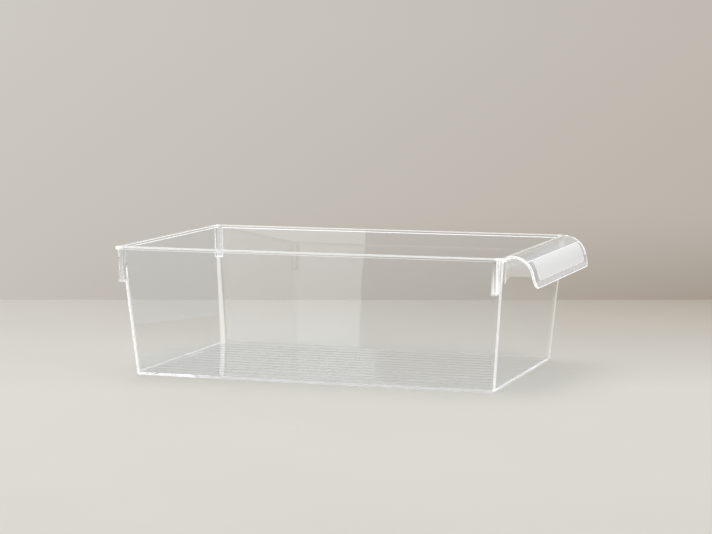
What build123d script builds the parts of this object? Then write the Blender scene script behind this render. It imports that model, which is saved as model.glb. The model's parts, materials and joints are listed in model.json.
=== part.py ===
from build123d import *
import os
from math import cos, degrees, radians, sin, sqrt

# Clear fridge bin with a curled pull handle at one end and a frosted grip panel on it.
# Millimetres, +Z up. +X runs along the bin to its handle and Y runs across it.
# The origin is the centre of the base, on the surface that the bin stands on.
# The clear body is one moulding. It is built as its regions, which meet face to face,
# and only the grip panel is a piece of its own.

# Tub, measured outside the walls at the top
bin_length = 350.0
bin_width = 229.0
bin_height = 116.0
end_draft = 10.0            # how far each end wall leans in by the base
side_draft = 9.5            # how far each long wall leans in by the base
wall = 2.0
floor_thickness = 2.4
rim_corner_radius = 5.0     # outside corner, in plan, at the rim
base_corner_radius = 7.0    # the same corner at the base
base_round = 1.6            # rounding of the bottom edge

# Lip round the top edge
lip_reach = 3.5
lip_height = 3.0
lip_corner_radius = 4.0
lip_round = 0.8

# Stacking lugs, hollow boxes let into the long walls at the corners
lug_width = 9.8             # along X
lug_depth = 10.5            # along Y, in from the lip's edge
lug_drop = 31.5             # from the rim down to the lug's underside
lug_wall = 2.0
lug_round = 0.8

# Lengthwise ribs on the floor, as many as there is room for
rib_pitch = 15.0
rib_width = 1.4
rib_height = 0.6
rib_end_gap = 7.0           # from a rib's end to the foot of the end wall
rib_side_gap = 7.0          # least room from the last rib to the foot of the long wall

# Handle, a curled sheet that grows out of the rim at the +X end
handle_side_gap = 14.5      # from the handle's end to the outside of the long wall's rim
handle_thickness = 2.2
curl_radius = 18.6          # of the sheet's outer face
crest_reach = 5.0           # from the end wall out to the highest line
flare_angle = 14.0          # how far the free edge stands out from upright
flare_length = 13.6
handle_corner_radius = 9.0
handle_edge_round = 0.6

# Gussets that close the two ends of the curl
gusset_thickness = 2.0
gusset_inset = 0.8          # in from the handle's end
gusset_drop = 16.5          # from the rim down to the lower edge
gusset_foot_radius = 6.5

# Frosted grip panel, seated in a recess of the handle's outer face
panel_start = 13.6          # along the outer face, from the crest to the upper edge
panel_height = 18.8         # along the outer face
panel_end_gap = 14.0        # from the panel's end to the handle's end
panel_thickness = 1.2
panel_corner_radius = 4.0
recess_depth = 0.8
panel_clearance = 0.15      # round the panel's edges

half_length = bin_length / 2
half_width = bin_width / 2
handle_width = bin_width - 2 * handle_side_gap
panel_width = handle_width - 2 * panel_end_gap


def block(x_range, y_range, z_range):
    ranges = (x_range, y_range, z_range)
    size = [high - low for low, high in ranges]
    middle = [(high + low) / 2 for low, high in ranges]
    return Pos(*middle) * Box(*size)


def placed(solid, end, side):
    """A solid made at the +X +Y corner, moved to the end and side given by signs."""
    if end < 0:
        solid = mirror(solid, about=Plane.YZ)
    if side < 0:
        solid = mirror(solid, about=Plane.XZ)
    return solid


def tapered_block(inset, low, high):
    """The tub's outer block moved in by inset, from height low to height high."""
    sections = []
    for height in (low, high):
        lean = 1 - height / bin_height
        length = bin_length - 2 * (end_draft * lean + inset)
        width = bin_width - 2 * (side_draft * lean + inset)
        radius = rim_corner_radius + (base_corner_radius - rim_corner_radius) * lean - inset
        sections.append(Plane.XY.offset(height) * RectangleRounded(length, width, radius))
    return loft(sections, ruled=True)


# Tub shell, and the upright planes that divide its corners from its walls
outer_tub = tapered_block(0, 0, bin_height)
inner_tub = tapered_block(wall, floor_thickness, bin_height)
shell = fillet(outer_tub.edges().group_by(Axis.Z)[0], base_round) - inner_tub
corner_margin = 1.0
corner_x = half_length - end_draft - base_corner_radius - corner_margin
corner_y = half_width - side_draft - base_corner_radius - corner_margin
wall_heights = (floor_thickness, bin_height)


def floor_panel():
    whole = (-half_length, half_length)
    return shell & block(whole, (-half_width, half_width), (0, floor_thickness))


def floor_ribs():
    """Low ribs that run the length of the floor, evenly spaced across it."""
    lean = 1 - floor_thickness / bin_height
    rib_reach = half_length - end_draft * lean - wall - rib_end_gap
    room = half_width - side_draft * lean - wall - rib_side_gap - rib_width / 2
    ribs_per_side = int(room / rib_pitch)
    ribs = []
    for index in range(-ribs_per_side, ribs_per_side + 1):
        y = index * rib_pitch
        ribs.append(block(
            (-rib_reach, rib_reach),
            (y - rib_width / 2, y + rib_width / 2),
            (floor_thickness, floor_thickness + rib_height),
        ))
    return Compound(children=ribs)


def long_wall(side):
    flat = shell & block((-corner_x, corner_x), (corner_y, half_width), wall_heights)
    return placed(flat, 1, side)


def end_wall(end):
    flat = shell & block((corner_x, half_length), (-corner_y, corner_y), wall_heights)
    return placed(flat, end, 1)


# A lug's outside box and the pocket in it, at the +X +Y corner. The pocket is open to the
# rim and to the tub, as a moulding's core leaves it.
lug_top = (bin_height - lug_drop, bin_height)
lug_face = half_width + lip_reach
lug_back = lug_face - lug_depth
lug_end = half_length - lug_width
lug_box = block((lug_end, half_length), (lug_back, lug_face), lug_top)


def pocket():
    bottom = bin_height - lug_drop + lug_wall
    heights = (bottom, bin_height)
    tub_end = half_length - end_draft * (1 - bottom / bin_height) - wall
    near_face = block(
        (lug_end + lug_wall, half_length - lug_wall),
        (lug_back + lug_wall, lug_face - lug_wall),
        heights,
    )
    way_in = block(
        (lug_end + lug_wall, tub_end),
        (lug_back - lug_depth / 2, lug_face - lug_wall),
        heights,
    )
    return near_face + way_in


def corner_with_lug(end, side):
    """Rounded corner of the tub and its hollow stacking lug."""
    corner = shell & block((corner_x, half_length), (corner_y, half_width), wall_heights)
    outside = lug_box.edges().filter_by(Axis.Z).sort_by(Axis.Y)[-2:]
    lug = fillet(outside, lug_round) - inner_tub
    return placed(corner + lug - pocket(), end, side)


def rim_lip():
    """Lip round the rim, stopped at the lugs and at the handle."""
    low = bin_height - lip_height
    outline = RectangleRounded(
        bin_length + 2 * lip_reach, bin_width + 2 * lip_reach, lip_corner_radius
    )
    ring = extrude(Plane.XY.offset(low) * outline, lip_height)
    ring = fillet(ring.edges().group_by(Axis.Z)[-1], lip_round) - outer_tub
    ring -= block(
        (0, half_length + 2 * lip_reach), (-handle_width / 2, handle_width / 2), lug_top
    )
    for end in (-1, 1):
        for side in (-1, 1):
            ring -= placed(lug_box, end, side)
    return ring


# The curl's centre line. The sheet's outer face starts at the rim's outer edge.
curl_x = half_length + crest_reach
curl_z = bin_height - sqrt(curl_radius**2 - crest_reach**2)
curl_end = 90 - flare_angle          # where the curl turns into the flare, from the crest


def curl_point(depth, angle, along=0.0):
    """A point that lies depth under the sheet's outer face.

    The angle is counted from the crest, and along is how far down the flare it lies.
    """
    radius = curl_radius - depth
    lean = radians(flare_angle)
    return (
        curl_x + radius * sin(radians(angle)) + along * sin(lean),
        curl_z + radius * cos(radians(angle)) - along * cos(lean),
    )


def sheet(depth_out, depth_in, start_angle, along, width):
    """Part of the curled sheet between two depths, from an angle to a place on the flare."""
    middle_angle = (start_angle + curl_end) / 2
    line_out = ThreePointArc(
        curl_point(depth_out, start_angle),
        curl_point(depth_out, middle_angle),
        curl_point(depth_out, curl_end),
    )
    line_in = ThreePointArc(
        curl_point(depth_in, curl_end),
        curl_point(depth_in, middle_angle),
        curl_point(depth_in, start_angle),
    )
    outline = Wire([
        line_out,
        Line(line_out @ 1, curl_point(depth_out, curl_end, along)),
        Line(curl_point(depth_out, curl_end, along), curl_point(depth_in, curl_end, along)),
        Line(curl_point(depth_in, curl_end, along), line_in @ 0),
        line_in,
        Line(line_in @ 1, line_out @ 0),
    ])
    return extrude(Plane.XZ * make_face(outline), width / 2, both=True)


def short_edges(solid, thickness):
    """The edges that run straight through a sheet at its corners, lowest first."""
    edges = solid.edges().filter_by(GeomType.LINE)
    return edges.filter_by(lambda edge: abs(edge.length - thickness) < 0.01).sort_by(Axis.Z)


def handle_curl():
    """Curled sheet with round lower corners and the recess for the grip panel."""
    inside_wall = -degrees(crest_reach + wall / 2) / curl_radius
    curl = sheet(0, handle_thickness, inside_wall, flare_length, handle_width)
    curl = fillet(short_edges(curl, handle_thickness)[:2], handle_corner_radius)
    root = set(curl.faces().sort_by(Axis.X)[0].edges())
    rim = set(curl.faces().filter_by(Axis.Y).edges())
    rim |= set(curl.faces().sort_by(Axis.Z)[0].edges())
    curl = fillet(ShapeList(rim - root), handle_edge_round)
    return curl - outer_tub - panel_shape(-recess_depth, recess_depth, panel_clearance)


def panel_shape(depth_out, depth_in, growth):
    """The grip panel's outline between two depths, grown by a clearance all round."""
    start_angle = degrees((panel_start - growth) / curl_radius)
    curl_length = curl_radius * radians(curl_end)
    along = panel_start + panel_height + growth - curl_length
    shape = sheet(depth_out, depth_in, start_angle, along, panel_width + 2 * growth)
    corners = short_edges(shape, depth_in - depth_out)
    return fillet(corners, panel_corner_radius + growth)


def grip_panel():
    return panel_shape(recess_depth - panel_thickness, recess_depth, 0)


def handle_gusset(side):
    """Web under one end of the curl, with a round foot against the end wall."""
    low = bin_height - gusset_drop
    wall_x = half_length - end_draft * (1 - low / bin_height)
    inside = wall_x - wall / 2
    radius = gusset_foot_radius
    under_curl = Pos(curl_x, curl_z) * Circle(curl_radius - handle_thickness)
    reach = (inside, curl_x + curl_radius)
    web = under_curl & Pos(sum(reach) / 2, bin_height) * Rectangle(
        reach[1] - reach[0], 2 * gusset_drop
    )
    foot = Pos((inside + wall_x + radius) / 2, low - radius / 2) * Rectangle(
        wall_x + radius - inside, radius
    )
    foot -= Pos(wall_x + radius, low - radius) * Circle(radius)
    outer_face = handle_width / 2 - gusset_inset
    flat = extrude(Plane.XZ * (web + foot), gusset_thickness / 2, both=True)
    gusset = Pos(0, outer_face - gusset_thickness / 2, 0) * flat - outer_tub
    return placed(gusset, 1, side)


pieces = {
    "floor_panel": floor_panel(),
    "floor_ribs": floor_ribs(),
    "front_wall": long_wall(-1),
    "back_wall": long_wall(1),
    "left_end_wall": end_wall(-1),
    "handle_end_wall": end_wall(1),
    "front_left_corner": corner_with_lug(-1, -1),
    "back_left_corner": corner_with_lug(-1, 1),
    "front_right_corner": corner_with_lug(1, -1),
    "back_right_corner": corner_with_lug(1, 1),
    "rim_lip": rim_lip(),
    "handle_curl": handle_curl(),
    "front_gusset": handle_gusset(-1),
    "back_gusset": handle_gusset(1),
    "grip_panel": grip_panel(),
}

os.makedirs("parts", exist_ok=True)
for name, piece in pieces.items():
    export_step(piece, f"parts/{name}.step")
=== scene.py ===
import json
from math import acos, asin, cos, pi, radians, sin, sqrt

import bmesh
import bpy
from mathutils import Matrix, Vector

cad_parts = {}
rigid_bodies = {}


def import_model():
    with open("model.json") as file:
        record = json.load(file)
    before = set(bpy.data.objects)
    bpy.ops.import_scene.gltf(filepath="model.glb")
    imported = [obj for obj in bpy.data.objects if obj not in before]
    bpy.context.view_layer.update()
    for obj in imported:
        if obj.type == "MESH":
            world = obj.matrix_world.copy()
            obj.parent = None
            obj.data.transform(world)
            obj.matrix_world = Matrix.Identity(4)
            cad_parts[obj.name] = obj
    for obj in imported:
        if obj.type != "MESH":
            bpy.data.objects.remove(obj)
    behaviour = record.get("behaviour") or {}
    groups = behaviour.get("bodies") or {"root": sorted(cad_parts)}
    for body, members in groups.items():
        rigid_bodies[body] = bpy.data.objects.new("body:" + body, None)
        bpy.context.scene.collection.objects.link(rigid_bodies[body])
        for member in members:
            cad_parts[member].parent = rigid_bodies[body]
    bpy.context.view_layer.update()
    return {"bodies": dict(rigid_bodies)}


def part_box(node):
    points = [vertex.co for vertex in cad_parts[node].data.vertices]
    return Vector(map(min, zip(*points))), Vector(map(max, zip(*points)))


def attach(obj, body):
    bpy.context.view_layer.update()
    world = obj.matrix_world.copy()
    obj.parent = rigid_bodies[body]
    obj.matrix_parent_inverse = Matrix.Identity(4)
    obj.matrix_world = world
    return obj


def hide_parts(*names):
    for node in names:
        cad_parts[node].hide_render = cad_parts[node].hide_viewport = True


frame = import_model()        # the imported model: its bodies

root = next(iter(frame["bodies"]))

# Main measures in metres, read from the frame
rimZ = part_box("back_wall")[1].z
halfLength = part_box("handle_end_wall")[1].x      # outside the end walls, at the rim
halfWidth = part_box("back_wall")[1].y
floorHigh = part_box("floor_panel")[1]
draftLeft = 1 - floorHigh.z / rimZ               # share of the lean that is left at the floor
endLean = (halfLength - floorHigh.x) / draftLeft
sideLean = (halfWidth - floorHigh.y) / draftLeft
lipLow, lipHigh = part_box("rim_lip")
lipReach = lipHigh.y - halfWidth
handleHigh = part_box("handle_curl")[1]
panelLow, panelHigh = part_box("grip_panel")


def newPiece(name, mesh):
    piece = bpy.data.objects.new(name, mesh)
    bpy.context.scene.collection.objects.link(piece)
    return piece


# Turns a finished bmesh into an object with its faces outwards
def closedPiece(name, build):
    bmesh.ops.recalc_face_normals(build, faces=build.faces)
    mesh = bpy.data.meshes.new(name)
    build.to_mesh(mesh)
    build.free()
    return newPiece(name, mesh)


# A closed solid from loops of points with the same count, bridged in order
def loopSolid(name, loops):
    build = bmesh.new()
    rows = [[build.verts.new(point) for point in loop] for loop in loops]
    count = len(rows[0])
    for before, after in zip(rows, rows[1:]):
        for i in range(count):
            j = (i + 1) % count
            build.faces.new((before[i], before[j], after[j], after[i]))
    build.faces.new(rows[0])
    build.faces.new(rows[-1])
    return closedPiece(name, build)


# An outline of two coordinates, run along the third axis from low to high
def prism(name, outline, axis, low, high, edgeShare=0.0):
    loops = []
    for along in (low, high):
        loop = []
        for u, v in outline:
            point = [u, v]
            point.insert(axis, along)
            loop.append(point)
        loops.append(loop)
    solid = loopSolid(name, loops)
    setEdgeShares(solid, [edgeShare] * len(solid.data.polygons))
    return solid


# How far each face of a piece counts as an edge, from 0 to 1: it makes the face softer and gives it
# painted glow
def setEdgeShares(piece, shares):
    kept = piece.data.attributes
    mark = kept.get("edgeShare") or kept.new("edgeShare", "FLOAT", "FACE")
    mark.data.foreach_set("value", shares)


def softenEdges(piece, width, steps=3, sharperThan=50):
    build = bmesh.new()
    build.from_mesh(piece.data)
    sharp = [e for e in build.edges if e.calc_face_angle(0) > radians(sharperThan)]
    bmesh.ops.bevel(build, geom=sharp, offset=width, segments=steps, profile=0.5, affect="EDGES")
    build.to_mesh(piece.data)
    build.free()


# Applies the modifiers of a piece by swapping its mesh for the evaluated one
def asMesh(piece):
    shown = piece.evaluated_get(bpy.context.evaluated_depsgraph_get())
    mesh = bpy.data.meshes.new_from_object(shown)
    piece.modifiers.clear()
    piece.data = mesh


# Joins the tool to the piece or cuts it out, and removes the tool
def combine(piece, tool, operation):
    step = piece.modifiers.new(operation.lower(), "BOOLEAN")
    step.object = tool
    step.operation = operation
    step.solver = "EXACT"
    asMesh(piece)
    bpy.data.objects.remove(tool)


# Merges what the cuts left doubled, and splits faces of many sides so that none folds over
def mendSeams(piece, gap=0.000001):
    build = bmesh.new()
    build.from_mesh(piece.data)
    bmesh.ops.remove_doubles(build, verts=build.verts, dist=gap)
    bmesh.ops.dissolve_degenerate(build, edges=build.edges, dist=gap)
    manySided = [face for face in build.faces if len(face.verts) > 4]
    bmesh.ops.triangulate(build, faces=manySided, quad_method="BEAUTY", ngon_method="BEAUTY")
    build.to_mesh(piece.data)
    build.free()


# Smooth faces that keep their edges, with flat walls left truly flat
def smoothShade(piece, angle=32):
    mesh = piece.data
    mesh.polygons.foreach_set("use_smooth", [True] * len(mesh.polygons))
    mesh.set_sharp_from_angle(angle=radians(angle))
    weighted = piece.modifiers.new("flatWalls", "WEIGHTED_NORMAL")
    weighted.keep_sharp = True
    weighted.weight = 100
    asMesh(piece)


# What counts as an edge, where the clear plastic is softer and given a painted glow
edgeBend = {
    "full": 0.0036,         # bends of this radius or less count fully
    "start": 0.0048,        # and those of this radius or more not at all
    "sharpest": 0.40,       # a larger angle between two faces counts as this one, in radians
    "leastArea": 1e-12,     # a sliver's area is never taken as less
    "cornerHeight": 0.025,  # faces taller than this and narrower than the next are tub corners
    "cornerWidth": 0.0020,
    # Tub corners count where they face the wall of their end by this share, by end and side, which
    # sets the width of their painted glow
    "turned": {(-1, -1): 0.50, (-1, 1): 0.50, (1, -1): 0.80, (1, 1): 0.50},
    "fadeLow": 0.0040,      # nothing counts up to this height
    "fadeOver": 0.0060,     # and it counts fully this much above it
}


# Gives each face its share of being an edge, from how tightly it bends to its neighbours
def markEdges(piece):
    build = bmesh.new()
    build.from_mesh(piece.data)
    build.normal_update()
    shares = []
    layers = build.faces.layers.float
    given = layers.get("edgeShare") or layers.new("edgeShare")
    first, last = 1 / edgeBend["start"], 1 / edgeBend["full"]
    for face in build.faces:
        area = max(face.calc_area(), edgeBend["leastArea"])
        middle = face.calc_center_median()
        heights = [vertex.co.z for vertex in face.verts]
        tall = max(heights) - min(heights)
        share = face[given]
        if tall > edgeBend["cornerHeight"]:
            outer = face.normal.x * middle.x + face.normal.y * middle.y > 0
            corner = (1 if middle.x > 0 else -1, 1 if middle.y > 0 else -1)
            turned = abs(face.normal.x) > edgeBend["turned"][corner]
            share = float(outer and turned and area / tall < edgeBend["cornerWidth"])
        elif share == 0:
            for edge in face.edges:
                angle = min(edge.calc_face_angle(0), edgeBend["sharpest"])
                bend = angle * edge.calc_length() / area
                share = max(share, (bend - first) / (last - first))
        share *= min(max((middle.z - edgeBend["fadeLow"]) / edgeBend["fadeOver"], 0), 1)
        shares.append(min(share, 1))
    build.free()
    setEdgeShares(piece, shares)


# The tub and its lip: one wall section carried round a rounded rectangle
tub = {
    "wall": 0.0020,
    "rimCorner": 0.0050,
    "baseCorner": 0.0070,
    "lipCorner": 0.0040,
    "rimRound": 0.0005,
    "lipRound": 0.0016,
    "lipFootRound": 0.0004,
    "footRound": 0.0010,
    "floorFillet": 0.0008,
    "cornerSteps": 10,
    "roundSteps": 4,
}


# The outline of the tub at a height, moved in from the outside of the wall
def tubLoop(height, inset):
    lean = 1 - height / rimZ
    halfX = halfLength - endLean * lean - inset
    halfY = halfWidth - sideLean * lean - inset
    corner = tub["rimCorner"] + (tub["baseCorner"] - tub["rimCorner"]) * lean - inset
    if inset < 0:
        share = -inset / lipReach
        corner = tub["rimCorner"] + (tub["lipCorner"] - tub["rimCorner"]) * share
    points = []
    for quarter in range(4):
        signX = 1 if quarter in (0, 3) else -1
        signY = 1 if quarter in (0, 1) else -1
        for step in range(tub["cornerSteps"] + 1):
            angle = (quarter + step / tub["cornerSteps"]) * pi / 2
            points.append((
                signX * (halfX - corner) + corner * cos(angle),
                signY * (halfY - corner) + corner * sin(angle),
                height,
            ))
    return points


# Section points of a rounding about a centre, a quarter turn on from the start angle
def quarterTurn(inset, height, radius, start):
    turns = [start + i * 90 / tub["roundSteps"] for i in range(tub["roundSteps"] + 1)]
    return [(inset + radius * cos(radians(a)), height + radius * sin(radians(a))) for a in turns]


def makeTub():
    wall, fillet = tub["wall"], tub["floorFillet"]
    rim, lip = tub["rimRound"], tub["lipRound"]
    lipFoot, foot = tub["lipFootRound"], tub["footRound"]
    # The angles are those of a section whose first axis is the inset and second the height
    section = quarterTurn(wall + fillet, floorHigh.z + fillet, fillet, 180)[::-1]
    section += quarterTurn(wall - rim, rimZ - rim, rim, 0)
    section += quarterTurn(lip - lipReach, rimZ - lip, lip, 90)
    section += quarterTurn(lipFoot - lipReach, lipLow.z + lipFoot, lipFoot, 180)
    section += [(0.0, lipLow.z)]
    section += quarterTurn(foot, foot, foot, 180)
    return loopSolid("bin_body", [tubLoop(height, inset) for inset, height in section])


body = makeTub()
print("tub made")

# Hollow stacking lugs under the rim at the corners of the long walls
lug = {
    "width": {-1: (0.0068, 0.0060), 1: (0.0062, 0.0046)},   # at its foot and its top, by end
    "setIn": {-1: 0.0, 1: 0.0032},      # from the end wall's face at the rim, by end
    "depth": 0.0105,
    "drop": 0.0315,
    "wall": 0.0014,
    "round": 0.0007,
    "levels": 6,            # rows of faces from the foot to the top
    # How far it counts as an edge, and so glows with painted light, at its foot and its top, by end
    # and side. With 0 its bends decide.
    "edgeShare": {(-1, -1): (0.08, 0.02), (1, -1): (0.70, 0.05), (-1, 1): (0, 0), (1, 1): (0, 0)},
    "setBack": 0.0001,      # keeps the lug's face just behind the lip's
    "underLip": 0.0020,     # how far down inside the lip the lug's block starts
}


def lugBlock(name, end, side, inset, low, high, back, edgeRound):
    front = halfWidth + lipReach - lug["setBack"] - inset
    outer = halfLength - lug["setIn"][end] - inset
    footWidth, topWidth = lug["width"][end]
    footShare, topShare = lug["edgeShare"][end, side]
    loops = []
    for i in range(lug["levels"] + 1):
        up = i / lug["levels"]
        inner = outer + 2 * inset - footWidth - (topWidth - footWidth) * up
        outline = [(inner, back), (outer, back), (outer, front), (inner, front)]
        loops.append([(end * x, side * y, low + (high - low) * up) for x, y in outline])
    block = loopSolid(name, loops)
    softenEdges(block, edgeRound)
    ups = [(face.center.z - low) / (high - low) for face in block.data.polygons]
    setEdgeShares(block, [footShare + (topShare - footShare) * up for up in ups])
    return block


def addLugs():
    low = rimZ - lug["drop"]
    wall = lug["wall"]
    back = halfWidth + lipReach - lug["depth"]
    corners = [(end, side) for end in (-1, 1) for side in (-1, 1)]
    core = [tubLoop(height, tub["wall"] / 2) for height in (low - wall, rimZ + wall)]
    for end, side in corners:
        solid = lugBlock("lug", end, side, 0.0, low, rimZ - lug["underLip"], back, lug["round"])
        combine(solid, loopSolid("core", core), "DIFFERENCE")     # keeps the block out of the tub
        combine(body, solid, "UNION")
    for end, side in corners:
        hollow = lugBlock("pocket", end, side, wall, low + wall, rimZ + wall, back - wall,
                          lug["round"] / 2)
        combine(body, hollow, "DIFFERENCE")


addLugs()
print("stacking lugs made")

# The curled handle. A place on it is given by how far across it lies, how far along the
# outer face from the crest, and how deep under that face.
handle = {
    "thickness": 0.0022,
    "curlRadius": 0.0186,
    "crestReach": 0.0050,
    "flareAngle": 14,
    "flareLength": 0.0136,
    "corner": 0.0090,
    "edgeRound": 0.0006,
    "rootDepth": 0.0010,    # how far the sheet starts inside the end wall
    "rootDip": 0.00005,
    "step": 0.0010,         # length of a face along the curl
    "cornerSteps": 8,
    "lipRoom": 0.0002,      # how far the gap cut for it in the lip passes the lip
    "flareShare": 0.20,     # how far the flare below the panel counts as an edge, with its painted glow
    "stripArea": 0.0001,    # its faces are larger than this, and those of its rounded edge smaller
}
curlX = halfLength + handle["crestReach"]
curlZ = rimZ - sqrt(handle["curlRadius"] ** 2 - handle["crestReach"] ** 2) - handle["rootDip"]
curlLength = handle["curlRadius"] * radians(90 - handle["flareAngle"])


def sheetPoint(across, along, depth):
    lean = radians(handle["flareAngle"])
    bend = min(along, curlLength) / handle["curlRadius"]
    past = max(along - curlLength, 0)
    radius = handle["curlRadius"] - depth
    return (
        curlX + radius * sin(bend) + past * sin(lean),
        across,
        curlZ + radius * cos(bend) - past * cos(lean),
    )


# A curled sheet with round corners and softened edges, as a closed solid
def sheetSolid(name, halfAcross, start, end, topCorner, endCorner, depthOut, depthIn, edgeRound):
    def sideLevels(inset):
        levels = []
        steps = handle["cornerSteps"]
        if topCorner:
            for i in range(steps):
                turn = radians(90 * i / steps)
                radius = topCorner - inset
                levels.append((
                    halfAcross - topCorner + radius * sin(turn),
                    start + topCorner - radius * cos(turn),
                ))
        else:
            levels.append((halfAcross - inset, start))
        straight = end - endCorner - (start + topCorner)
        count = max(int(straight / handle["step"]), 1)
        first = 0 if topCorner else 1
        for i in range(first, count):
            levels.append((halfAcross - inset, start + topCorner + straight * i / count))
        for i in range(steps + 1):
            turn = radians(90 * i / steps)
            radius = endCorner - inset
            levels.append((
                halfAcross - endCorner + radius * cos(turn),
                end - endCorner + radius * sin(turn),
            ))
        return levels

    rounding = [radians(90 * i / tub["roundSteps"]) for i in range(tub["roundSteps"] + 1)]
    section = [(edgeRound * (1 - sin(a)), depthOut + edgeRound * (1 - cos(a))) for a in rounding]
    section += [(inset, depthOut + depthIn - depth) for inset, depth in reversed(section)]
    build = bmesh.new()
    rows = []
    for inset, depth in section:
        levels = sideLevels(inset)
        left = [build.verts.new(sheetPoint(-half, along, depth)) for half, along in levels]
        right = [build.verts.new(sheetPoint(half, along, depth)) for half, along in levels]
        rows.append((left, right))
    for before, after in zip(rows, rows[1:]):
        loopA = before[0] + before[1][::-1]
        loopB = after[0] + after[1][::-1]
        for i in range(len(loopA)):
            j = (i + 1) % len(loopA)
            build.faces.new((loopA[i], loopA[j], loopB[j], loopB[i]))
    for left, right in (rows[0], rows[-1]):
        for i in range(len(left) - 1):
            build.faces.new((left[i], left[i + 1], right[i + 1], right[i]))
    return closedPiece(name, build)


# Webs that close the two ends of the curl
gusset = {
    "thickness": 0.0020,
    "inset": 0.0008,
    "drop": 0.0165,
    "footRadius": 0.0065,
    "sink": 0.0010,         # how far it runs into the wall and the sheet, to join them
    "footSteps": 8,
    "arcSteps": 24,
    # how far the web counts as an edge, with its painted glow
    "edgeShare": 0.23,
}


def gussetOutline():
    low = rimZ - gusset["drop"]
    wallX = halfLength - endLean * (1 - low / rimZ)
    inside = wallX - gusset["sink"]
    foot = gusset["footRadius"]
    radius = handle["curlRadius"] - handle["thickness"] + gusset["sink"]
    outline = [(inside, low - foot)]
    for i in range(gusset["footSteps"] + 1):
        turn = radians(180 - 90 * i / gusset["footSteps"])
        outline.append((wallX + foot + foot * cos(turn), low - foot + foot * sin(turn)))
    first = acos((low - curlZ) / radius)
    last = asin((inside - curlX) / radius)
    for i in range(gusset["arcSteps"] + 1):
        turn = first + (last - first) * i / gusset["arcSteps"]
        outline.append((curlX + radius * sin(turn), curlZ + radius * cos(turn)))
    return outline


def addHandle():
    half = handleHigh.y
    low, high = lipLow.z - handle["lipRoom"], rimZ + handle["lipRoom"]
    past = halfLength + 2 * lipReach
    gap = [(halfLength, low), (past, low), (past, high), (halfLength, high)]
    combine(body, prism("lipGap", gap, 1, -half, half), "DIFFERENCE")
    rootReach = handle["crestReach"] + handle["rootDepth"]
    start = -handle["curlRadius"] * asin(rootReach / handle["curlRadius"])
    end = curlLength + handle["flareLength"]
    sheet = sheetSolid("curl", half, start, end, 0, handle["corner"], 0,
                       handle["thickness"], handle["edgeRound"])
    flare = [f.center.z < panelLow.z and f.area > handle["stripArea"] for f in sheet.data.polygons]
    setEdgeShares(sheet, [handle["flareShare"] * inFlare for inFlare in flare])
    combine(body, sheet, "UNION")
    outer = half - gusset["inset"]
    inner = outer - gusset["thickness"]
    for side in (-1, 1):
        web = prism("gusset", gussetOutline(), 1, side * inner, side * outer, gusset["edgeShare"])
        combine(body, web, "UNION")


addHandle()
print("handle made")

# The frosted grip panel and its recess
panel = {
    "start": 0.0136,
    "height": 0.0188,
    "thickness": 0.0012,
    "corner": 0.0040,
    "recess": 0.0008,
    "clearance": 0.00015,
    "edgeRound": 0.0003,
    "recessRound": 0.0001,
    "seatGap": 0.00002,     # between the panel and the bottom of its recess
}


def makePanel():
    half = panelHigh.y
    grow = panel["clearance"]
    end = panel["start"] + panel["height"]
    cutter = sheetSolid("recess", half + grow, panel["start"] - grow, end + grow,
                        panel["corner"] + grow, panel["corner"] + grow,
                        -panel["recess"], panel["recess"], panel["recessRound"])
    combine(body, cutter, "DIFFERENCE")
    return sheetSolid("grip_insert", half, panel["start"], end, panel["corner"], panel["corner"],
                      panel["recess"] - panel["thickness"], panel["recess"] - panel["seatGap"],
                      panel["edgeRound"])


gripInsert = makePanel()
print("grip panel made")


# Gives a node group its sockets, by name and kind
def addSockets(tree, way, kinds):
    for name, kind in kinds.items():
        tree.interface.new_socket(name, in_out=way, socket_type="NodeSocket" + kind)


# Sets a socket to a value, or links an output to it
def feed(tree, value, socket):
    if isinstance(value, bpy.types.NodeSocket):
        tree.links.new(value, socket)
    elif socket.type == "RGBA":
        socket.default_value = (*value[:3], 1)
    else:
        socket.default_value = value


def maths(tree, operation, *values, clamp=False):
    made = tree.nodes.new("ShaderNodeMath")
    made.operation = operation
    made.use_clamp = clamp
    for socket, value in zip(made.inputs, values):
        feed(tree, value, socket)
    return made.outputs[0]


# Goes from low to high while the value goes from start to full
def ramp(tree, value, start, full, low=0.0, high=1.0, kind="LINEAR"):
    made = tree.nodes.new("ShaderNodeMapRange")
    made.interpolation_type = kind
    feed(tree, value, made.inputs["Value"])
    feed(tree, start, made.inputs["From Min"])
    feed(tree, full, made.inputs["From Max"])
    feed(tree, low, made.inputs["To Min"])
    feed(tree, high, made.inputs["To Max"])
    return made.outputs["Result"]


# Two colours mixed by a share
def blend(tree, share, a, b, kind="MIX"):
    made = tree.nodes.new("ShaderNodeMix")
    made.data_type = "RGBA"
    made.blend_type = kind
    feed(tree, share, made.inputs[0])
    feed(tree, a, made.inputs[6])
    feed(tree, b, made.inputs[7])
    return made.outputs[2]


def objectPlace(tree):
    return tree.nodes.new("ShaderNodeTexCoord").outputs["Object"]


def noise(tree, place, scale, detail, distortion=0.0):
    made = tree.nodes.new("ShaderNodeTexNoise")
    feed(tree, place, made.inputs["Vector"])
    feed(tree, scale, made.inputs["Scale"])
    feed(tree, detail, made.inputs["Detail"])
    feed(tree, distortion, made.inputs["Distortion"])
    return made.outputs["Fac"]


# How far a vector runs along a direction
def reachAlong(tree, vector, direction):
    made = tree.nodes.new("ShaderNodeVectorMath")
    made.operation = "DOT_PRODUCT"
    made.inputs[1].default_value = direction
    tree.links.new(vector, made.inputs[0])
    return made.outputs["Value"]


def addBump(tree, height, distance, surface):
    bump = tree.nodes.new("ShaderNodeBump")
    bump.inputs["Distance"].default_value = distance
    tree.links.new(height, bump.inputs["Height"])
    tree.links.new(bump.outputs["Normal"], surface.inputs["Normal"])


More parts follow.
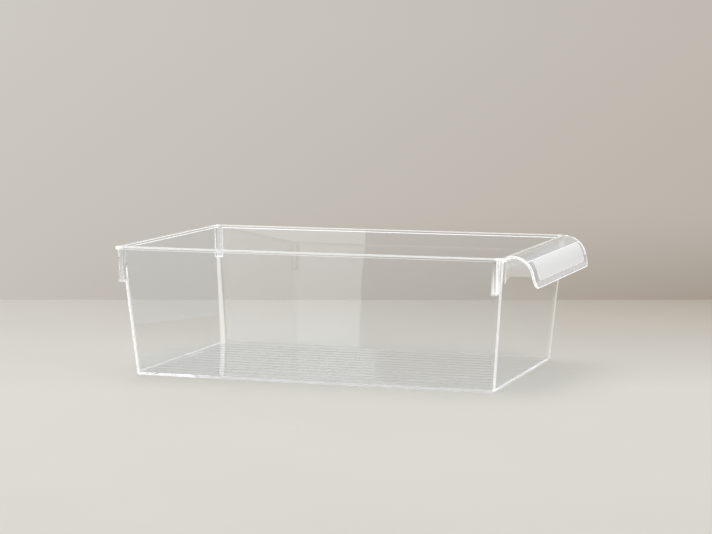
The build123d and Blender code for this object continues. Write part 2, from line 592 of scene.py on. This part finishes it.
# Low ribs along the floor
ribs = {
    "pitch": 0.0150,
    "width": 0.0060,
    "height": 0.00010,
    "steps": 12,            # round a rib's section
    "edgeShare": 0.02,
    "plainWidth": 0.0014,   # of the frame's plain ribs, whose rows these follow
}


def ribTree():
    tree = bpy.data.node_groups.new("floorRibs", "GeometryNodeTree")
    addSockets(tree, "INPUT", {
        "Length": "Float", "Width": "Float", "Height": "Float", "Pitch": "Float",
        "Floor Level": "Float", "Edge Share": "Float", "Count": "Int", "Material": "Material",
    })
    addSockets(tree, "OUTPUT", {"Geometry": "Geometry"})
    node, link = tree.nodes.new, tree.links.new
    given = node("NodeGroupInput").outputs

    def vector(x=0.0, y=0.0, z=0.0):
        made = node("ShaderNodeCombineXYZ")
        for socket, value in zip(made.inputs, (x, y, z)):
            feed(tree, value, socket)
        return made.outputs[0]

    halfRun = maths(tree, "MULTIPLY", given["Length"], 0.5)
    spine = node("GeometryNodeCurvePrimitiveLine")
    link(vector(x=maths(tree, "MULTIPLY", halfRun, -1.0)), spine.inputs["Start"])
    link(vector(x=halfRun), spine.inputs["End"])
    circle = node("GeometryNodeCurvePrimitiveCircle")
    circle.inputs["Resolution"].default_value = ribs["steps"]
    circle.inputs["Radius"].default_value = 1.0
    flattened = node("GeometryNodeTransform")
    halfWide = maths(tree, "MULTIPLY", given["Width"], 0.5)
    link(circle.outputs["Curve"], flattened.inputs["Geometry"])
    link(vector(x=halfWide, y=given["Height"]), flattened.inputs["Scale"])
    rib = node("GeometryNodeCurveToMesh")
    rib.inputs["Fill Caps"].default_value = True
    link(spine.outputs["Curve"], rib.inputs["Curve"])
    link(flattened.outputs["Geometry"], rib.inputs["Profile Curve"])
    row = node("GeometryNodeMeshLine")
    span = maths(tree, "MULTIPLY", maths(tree, "SUBTRACT", given["Count"], 1.0), given["Pitch"])
    first = maths(tree, "MULTIPLY", span, -0.5)
    link(given["Count"], row.inputs["Count"])
    link(vector(y=first, z=given["Floor Level"]), row.inputs["Start Location"])
    link(vector(y=given["Pitch"]), row.inputs["Offset"])
    placed = node("GeometryNodeInstanceOnPoints")
    link(row.outputs["Mesh"], placed.inputs["Points"])
    link(rib.outputs["Mesh"], placed.inputs["Instance"])
    real = node("GeometryNodeRealizeInstances")
    link(placed.outputs["Instances"], real.inputs["Geometry"])
    marked = node("GeometryNodeStoreNamedAttribute")
    marked.domain = "FACE"
    marked.inputs["Name"].default_value = "edgeShare"
    link(real.outputs["Geometry"], marked.inputs["Geometry"])
    link(given["Edge Share"], marked.inputs["Value"])
    painted = node("GeometryNodeSetMaterial")
    link(marked.outputs["Geometry"], painted.inputs["Geometry"])
    link(given["Material"], painted.inputs["Material"])
    link(painted.outputs["Geometry"], node("NodeGroupOutput").inputs["Geometry"])
    return tree


def addRibs(material):
    low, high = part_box("floor_ribs")
    count = round((high.y - low.y - ribs["plainWidth"]) / ribs["pitch"]) + 1
    rows = newPiece("ribRows", bpy.data.meshes.new("ribRows"))
    made = rows.modifiers.new("floorRibs", "NODES")
    made.node_group = ribTree()
    values = {
        "Length": high.x - low.x, "Width": ribs["width"], "Height": ribs["height"],
        "Pitch": ribs["pitch"], "Floor Level": low.z, "Count": count,
        "Edge Share": ribs["edgeShare"], "Material": material,
    }
    for item in made.node_group.interface.items_tree:
        if item.in_out == "INPUT":
            made[item.identifier] = values[item.name]
    asMesh(rows)
    combine(body, rows, "UNION")


# A material, its node tree and its surface shader
def newMaterial(name):
    material = bpy.data.materials.new(name)
    material.use_nodes = True
    tree = material.node_tree
    return material, tree, tree.nodes["Principled BSDF"]


scuffLook = {
    "detail": 5.0,
    "distortion": 1.2,
    "start": 0.42,          # noise up to this leaves the surface smooth
    "full": 0.72,           # and from this on it is fully scuffed
    "waveDetail": 1.0,
}


# A shader group for what moulding and handling leave: fine scuffs, softer tight bends and
# edges, and slow waves in a face. It also gives the edges' painted glow.
def handlingMarks():
    group = bpy.data.node_groups.new("handlingMarks", "ShaderNodeTree")
    addSockets(group, "INPUT", {
        "Vector": "Vector", "Edge": "Float", "Scuff Scale": "Float", "Smooth": "Float",
        "Scuffed": "Float", "Edge Softness": "Float", "Wave Scale": "Float",
    })
    addSockets(group, "OUTPUT", {"Roughness": "Float", "Waves": "Float", "Painted Glow": "Float"})
    node, link = group.nodes.new, group.links.new
    given, result = node("NodeGroupInput").outputs, node("NodeGroupOutput").inputs
    scuffs = noise(group, given["Vector"], given["Scuff Scale"], scuffLook["detail"],
                   scuffLook["distortion"])
    scuffed = ramp(group, scuffs, scuffLook["start"], scuffLook["full"],
                   given["Smooth"], given["Scuffed"])
    rough = maths(group, "MULTIPLY_ADD", given["Edge"], given["Edge Softness"], scuffed)
    link(rough, result["Roughness"])
    link(given["Edge"], result["Painted Glow"])
    waves = noise(group, given["Vector"], given["Wave Scale"], scuffLook["waveDetail"])
    link(waves, result["Waves"])
    return group


marks = handlingMarks()


# Places the group with the piece's own coordinates, its edge shares and the given values
def placeMarks(tree, values):
    placed = tree.nodes.new("ShaderNodeGroup")
    placed.node_tree = marks
    tree.links.new(objectPlace(tree), placed.inputs["Vector"])
    edge = tree.nodes.new("ShaderNodeAttribute")
    edge.attribute_name = "edgeShare"
    tree.links.new(edge.outputs["Fac"], placed.inputs["Edge"])
    for name, value in values.items():
        placed.inputs[name].default_value = value
    return placed


clearLook = {
    "tint": (0.972, 0.980, 0.986, 1),
    "ior": 1.50,
    "shadow": (0.85, 0.865, 0.875, 1),       # what each face lets through to the lamps
    "waveHeight": 0.00004,
    "paintedGlow": 0.24,       # strength of the painted glow along the edges, against white
    "marks": {"Scuff Scale": 55.0, "Smooth": 0.0, "Scuffed": 0.035, "Edge Softness": 0.4,
              "Wave Scale": 16.0},
}


def clearPlastic():
    material, tree, glass = newMaterial("clearPlastic")
    nodes, link = tree.nodes, tree.links.new
    glass.inputs["Base Color"].default_value = clearLook["tint"]
    glass.inputs["IOR"].default_value = clearLook["ior"]
    glass.inputs["Transmission Weight"].default_value = 1.0
    placed = placeMarks(tree, clearLook["marks"])
    link(placed.outputs["Roughness"], glass.inputs["Roughness"])
    # The edges glow with painted light: an emission set by their edge share
    link(placed.outputs["Painted Glow"], glass.inputs["Emission Color"])
    glass.inputs["Emission Strength"].default_value = clearLook["paintedGlow"]
    addBump(tree, placed.outputs["Waves"], clearLook["waveHeight"], glass)
    letThrough = nodes.new("ShaderNodeBsdfTransparent")
    letThrough.inputs["Color"].default_value = clearLook["shadow"]
    mix = nodes.new("ShaderNodeMixShader")
    link(nodes.new("ShaderNodeLightPath").outputs["Is Shadow Ray"], mix.inputs[0])
    link(glass.outputs[0], mix.inputs[1])
    link(letThrough.outputs[0], mix.inputs[2])
    link(mix.outputs[0], nodes["Material Output"].inputs["Surface"])
    return material


frostLook = {
    "colour": (0.975, 0.98, 0.985, 1),
    "letsThrough": 0.15,
    "spread": 0.001,        # how far light runs inside it
    "grainScale": 2600.0,
    "grainDetail": 2.0,
    "grainHeight": 0.00002,
    "marks": {"Scuff Scale": 90.0, "Smooth": 0.42, "Scuffed": 0.56, "Edge Softness": 0.0,
              "Wave Scale": 30.0},
}


def frostedPlastic():
    material, tree, surface = newMaterial("frostedPlastic")
    surface.inputs["Base Color"].default_value = frostLook["colour"]
    surface.inputs["IOR"].default_value = clearLook["ior"]
    surface.inputs["Subsurface Weight"].default_value = frostLook["letsThrough"]
    surface.inputs["Subsurface Radius"].default_value = (1, 1, 1)
    surface.inputs["Subsurface Scale"].default_value = frostLook["spread"]
    placed = placeMarks(tree, frostLook["marks"])
    tree.links.new(placed.outputs["Roughness"], surface.inputs["Roughness"])
    grain = noise(tree, objectPlace(tree), frostLook["grainScale"], frostLook["grainDetail"])
    addBump(tree, grain, frostLook["grainHeight"], surface)
    return material


clear = clearPlastic()
markEdges(body)
addRibs(clear)
print("floor ribs made")

mendSeams(body)
body.data.materials.clear()
body.data.materials.append(clear)
smoothShade(body)
gripInsert.data.materials.append(frostedPlastic())
smoothShade(gripInsert)
markEdges(gripInsert)
print("materials made,", len(body.data.polygons), "faces on the body")

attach(body, root)
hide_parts("floor_panel", "floor_ribs", "front_wall", "back_wall", "left_end_wall",
            "handle_end_wall", "front_left_corner", "back_left_corner", "front_right_corner",
            "back_right_corner", "rim_lip", "handle_curl", "front_gusset", "back_gusset")
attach(gripInsert, root)
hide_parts("grip_panel")

# Studio: the camera, a table and a world that stands for the room's walls
studio = {
    "cameraPlace": (0.6458, -1.9188, 0.3057),
    "heading": 18.39,
    "lookDown": 6.04,
    "lens": 113.2,
    "tableFar": 2.537,          # from the camera along its heading
    "tableNear": -1.60,
    "tableHalfWidth": 2.40,
    "underBase": 0.0003,        # a hair of air under the bin
    "tableColour": (0.735, 0.710, 0.655),
    "tableShadeColour": (0.435, 0.370, 0.290),
    "tableRoughness": 0.75,
    "mottleScale": 6.0,
    "mottleDetail": 6.0,
    "mottleDark": (0.97, 0.97, 0.97),
    "mottleLight": (1.03, 1.03, 1.03),
    "farShade": (1.90, 2.55, 0.0, 1.0),         # painted shade towards the far edge: start and end from the camera, and the shares
    # painted shade towards the right: start and end across, and the shares
    "sideShade": (-0.40, 0.40, 0.26, 0.90),
    "backColour": (0.640, 0.618, 0.572),        # high on the left
    "backShade": (0.340, 0.280, 0.225),         # low on the right
    "sideColour": (0.60, 0.62, 0.64),
    "upColour": (0.85, 0.88, 0.91),
    "ambient": (0.52, 0.52, 0.515),             # on dull surfaces
    "fallMiddle": 0.235,        # how far the back wall goes to its shade, straight ahead
    "fallRight": 0.90,          # and further to the right and downwards
    "fallDown": -1.20,
    "fallTop": 0.0,             # no lighter above this height of a direction
    "footStart": -0.075,        # a darker foot, most of all on the right
    "footFull": -0.130,
    "footMiddle": 0.20,
    "footRight": 1.20,
    "sideStart": 0.22,          # how far off the camera's line the side colour starts and fills
    "sideFull": 0.55,
    "upStart": 0.10,            # the same for the height of a direction
    "upFull": 0.45,
}
heading = radians(studio["heading"])
ahead = Vector((-sin(heading), cos(heading), 0))
across = Vector((cos(heading), sin(heading), 0))


def addCamera():
    data = bpy.data.cameras.new("camera")
    data.lens = studio["lens"]
    data.clip_end = 50
    camera = newPiece("camera", data)
    camera.location = studio["cameraPlace"]
    camera.rotation_euler = (radians(90 - studio["lookDown"]), 0, heading)
    bpy.context.scene.camera = camera


# The table's colour darkens to a painted shade far off and on the right, under a faint random mottle
def tablePaint():
    material, tree, surface = newMaterial("tablePaint")
    surface.inputs["Roughness"].default_value = studio["tableRoughness"]
    place = objectPlace(tree)
    fades = []
    for direction, fade in ((ahead, studio["farShade"]), (across, studio["sideShade"])):
        start, full, low, high = fade
        begin = Vector(studio["cameraPlace"]).dot(direction)
        reach = reachAlong(tree, place, direction)
        fades.append(ramp(tree, reach, begin + start, begin + full, low, high))
    shade = maths(tree, "MULTIPLY", *fades)
    colour = blend(tree, shade, studio["tableColour"], studio["tableShadeColour"])
    mottle = noise(tree, place, studio["mottleScale"], studio["mottleDetail"])
    tint = blend(tree, mottle, studio["mottleDark"], studio["mottleLight"])
    tree.links.new(blend(tree, 1.0, colour, tint, "MULTIPLY"), surface.inputs["Base Color"])
    return material


def addTable():
    foot = Vector(studio["cameraPlace"])
    foot.z = -studio["underBase"]
    build = bmesh.new()
    corners = []
    for along, side in (("tableNear", -1), ("tableNear", 1), ("tableFar", 1), ("tableFar", -1)):
        corner = foot + ahead * studio[along] + across * side * studio["tableHalfWidth"]
        corners.append(build.verts.new(corner))
    build.faces.new(corners)
    mesh = bpy.data.meshes.new("table")
    build.to_mesh(mesh)
    build.free()
    table = newPiece("table", mesh)
    table.data.materials.append(tablePaint())


# Rectangular lamps, whose faces have the given brightness, where 1 is white. One that is
# seen through the plastic counts twice there, beside the light that the plastic lets
# through, so only the left one is, for its reflection on the far wall.
softboxes = {
    "topSoftbox": {
        "place": (-0.3, 0.1, 1.8),
        "aim": (0, 0, 0),
        "size": (1.4, 1.2),
        "brightness": 2.4,
        "colour": (1.0, 1.0, 1.0),
        "seenThrough": False,
    },
    "leftSoftbox": {
        "place": (-1.051, -1.247, 0.55),
        "aim": (0, 0, 0.55),
        "size": (1.2, 1.1),
        "brightness": 1.45,
        "colour": (0.92, 0.98, 1.0),
        "seenThrough": True,
    },
    "rightSoftbox": {
        "place": (1.9, -0.5, 0.9),
        "aim": (0, 0, 0.1),
        "size": (1.0, 1.2),
        "brightness": 2.3,
        "colour": (1.0, 1.0, 1.0),
        "seenThrough": False,
    },
}


def addSoftbox(name, values):
    width, height = values["size"]
    data = bpy.data.lights.new(name, "AREA")
    data.shape = "RECTANGLE"
    data.color = values["colour"]
    data.size = width
    data.size_y = height
    data.energy = values["brightness"] * pi * width * height
    box = newPiece(name, data)
    box.location = values["place"]
    facing = Vector(values["place"]) - Vector(values["aim"])
    box.rotation_euler = facing.to_track_quat("Z", "Y").to_euler()
    box.visible_camera = False
    box.visible_transmission = values["seenThrough"]


# The room's walls by direction: the back wall falls off to its shade, and other colours
# come in from the sides and from above
def addWorld():
    world = bpy.data.worlds.new("studio")
    bpy.context.scene.world = world
    world.use_nodes = True
    tree = world.node_tree
    direction = tree.nodes.new("ShaderNodeTexCoord").outputs["Generated"]
    sideways = reachAlong(tree, direction, across)
    split = tree.nodes.new("ShaderNodeSeparateXYZ")
    tree.links.new(direction, split.inputs[0])
    height = split.outputs["Z"]

    def softRamp(value, start, full):
        return ramp(tree, value, studio[start], studio[full], kind="SMOOTHSTEP")

    side = softRamp(maths(tree, "ABSOLUTE", sideways), "sideStart", "sideFull")
    up = softRamp(height, "upStart", "upFull")
    foot = softRamp(height, "footStart", "footFull")
    lowered = maths(tree, "MINIMUM", height, studio["fallTop"])
    fall = maths(tree, "ADD", maths(tree, "MULTIPLY", sideways, studio["fallRight"]),
                 maths(tree, "MULTIPLY", lowered, studio["fallDown"]))
    footShare = maths(tree, "MULTIPLY", sideways, studio["footRight"])
    footShare = maths(tree, "ADD", footShare, studio["footMiddle"])
    fall = maths(tree, "ADD", fall, maths(tree, "MULTIPLY", foot, footShare))
    fall = maths(tree, "ADD", fall, studio["fallMiddle"], clamp=True)
    seen = blend(tree, fall, studio["backColour"], studio["backShade"])
    seen = blend(tree, side, seen, studio["sideColour"])
    seen = blend(tree, up, seen, studio["upColour"])

    # The walls show to the camera and in or through the plastic, and the rest gets the ambient
    path = tree.nodes.new("ShaderNodeLightPath").outputs
    direct = maths(tree, "MAXIMUM", path["Is Camera Ray"], path["Is Glossy Ray"])
    direct = maths(tree, "MAXIMUM", direct, path["Is Transmission Ray"])
    direct = maths(tree, "SUBTRACT", direct, path["Diffuse Depth"], clamp=True)
    shown = blend(tree, direct, studio["ambient"], seen)
    tree.links.new(shown, tree.nodes["Background"].inputs["Color"])


addCamera()
addTable()
for name, values in softboxes.items():
    addSoftbox(name, values)
addWorld()

# Light runs a long way inside the clear walls
bounces = {"clear": 128, "transparent": 64}
scene = bpy.context.scene
scene.view_settings.view_transform = "Standard"
scene.cycles.max_bounces = bounces["clear"]
scene.cycles.transmission_bounces = bounces["clear"]
scene.cycles.glossy_bounces = bounces["clear"]
scene.cycles.transparent_max_bounces = bounces["transparent"]
print("studio made")
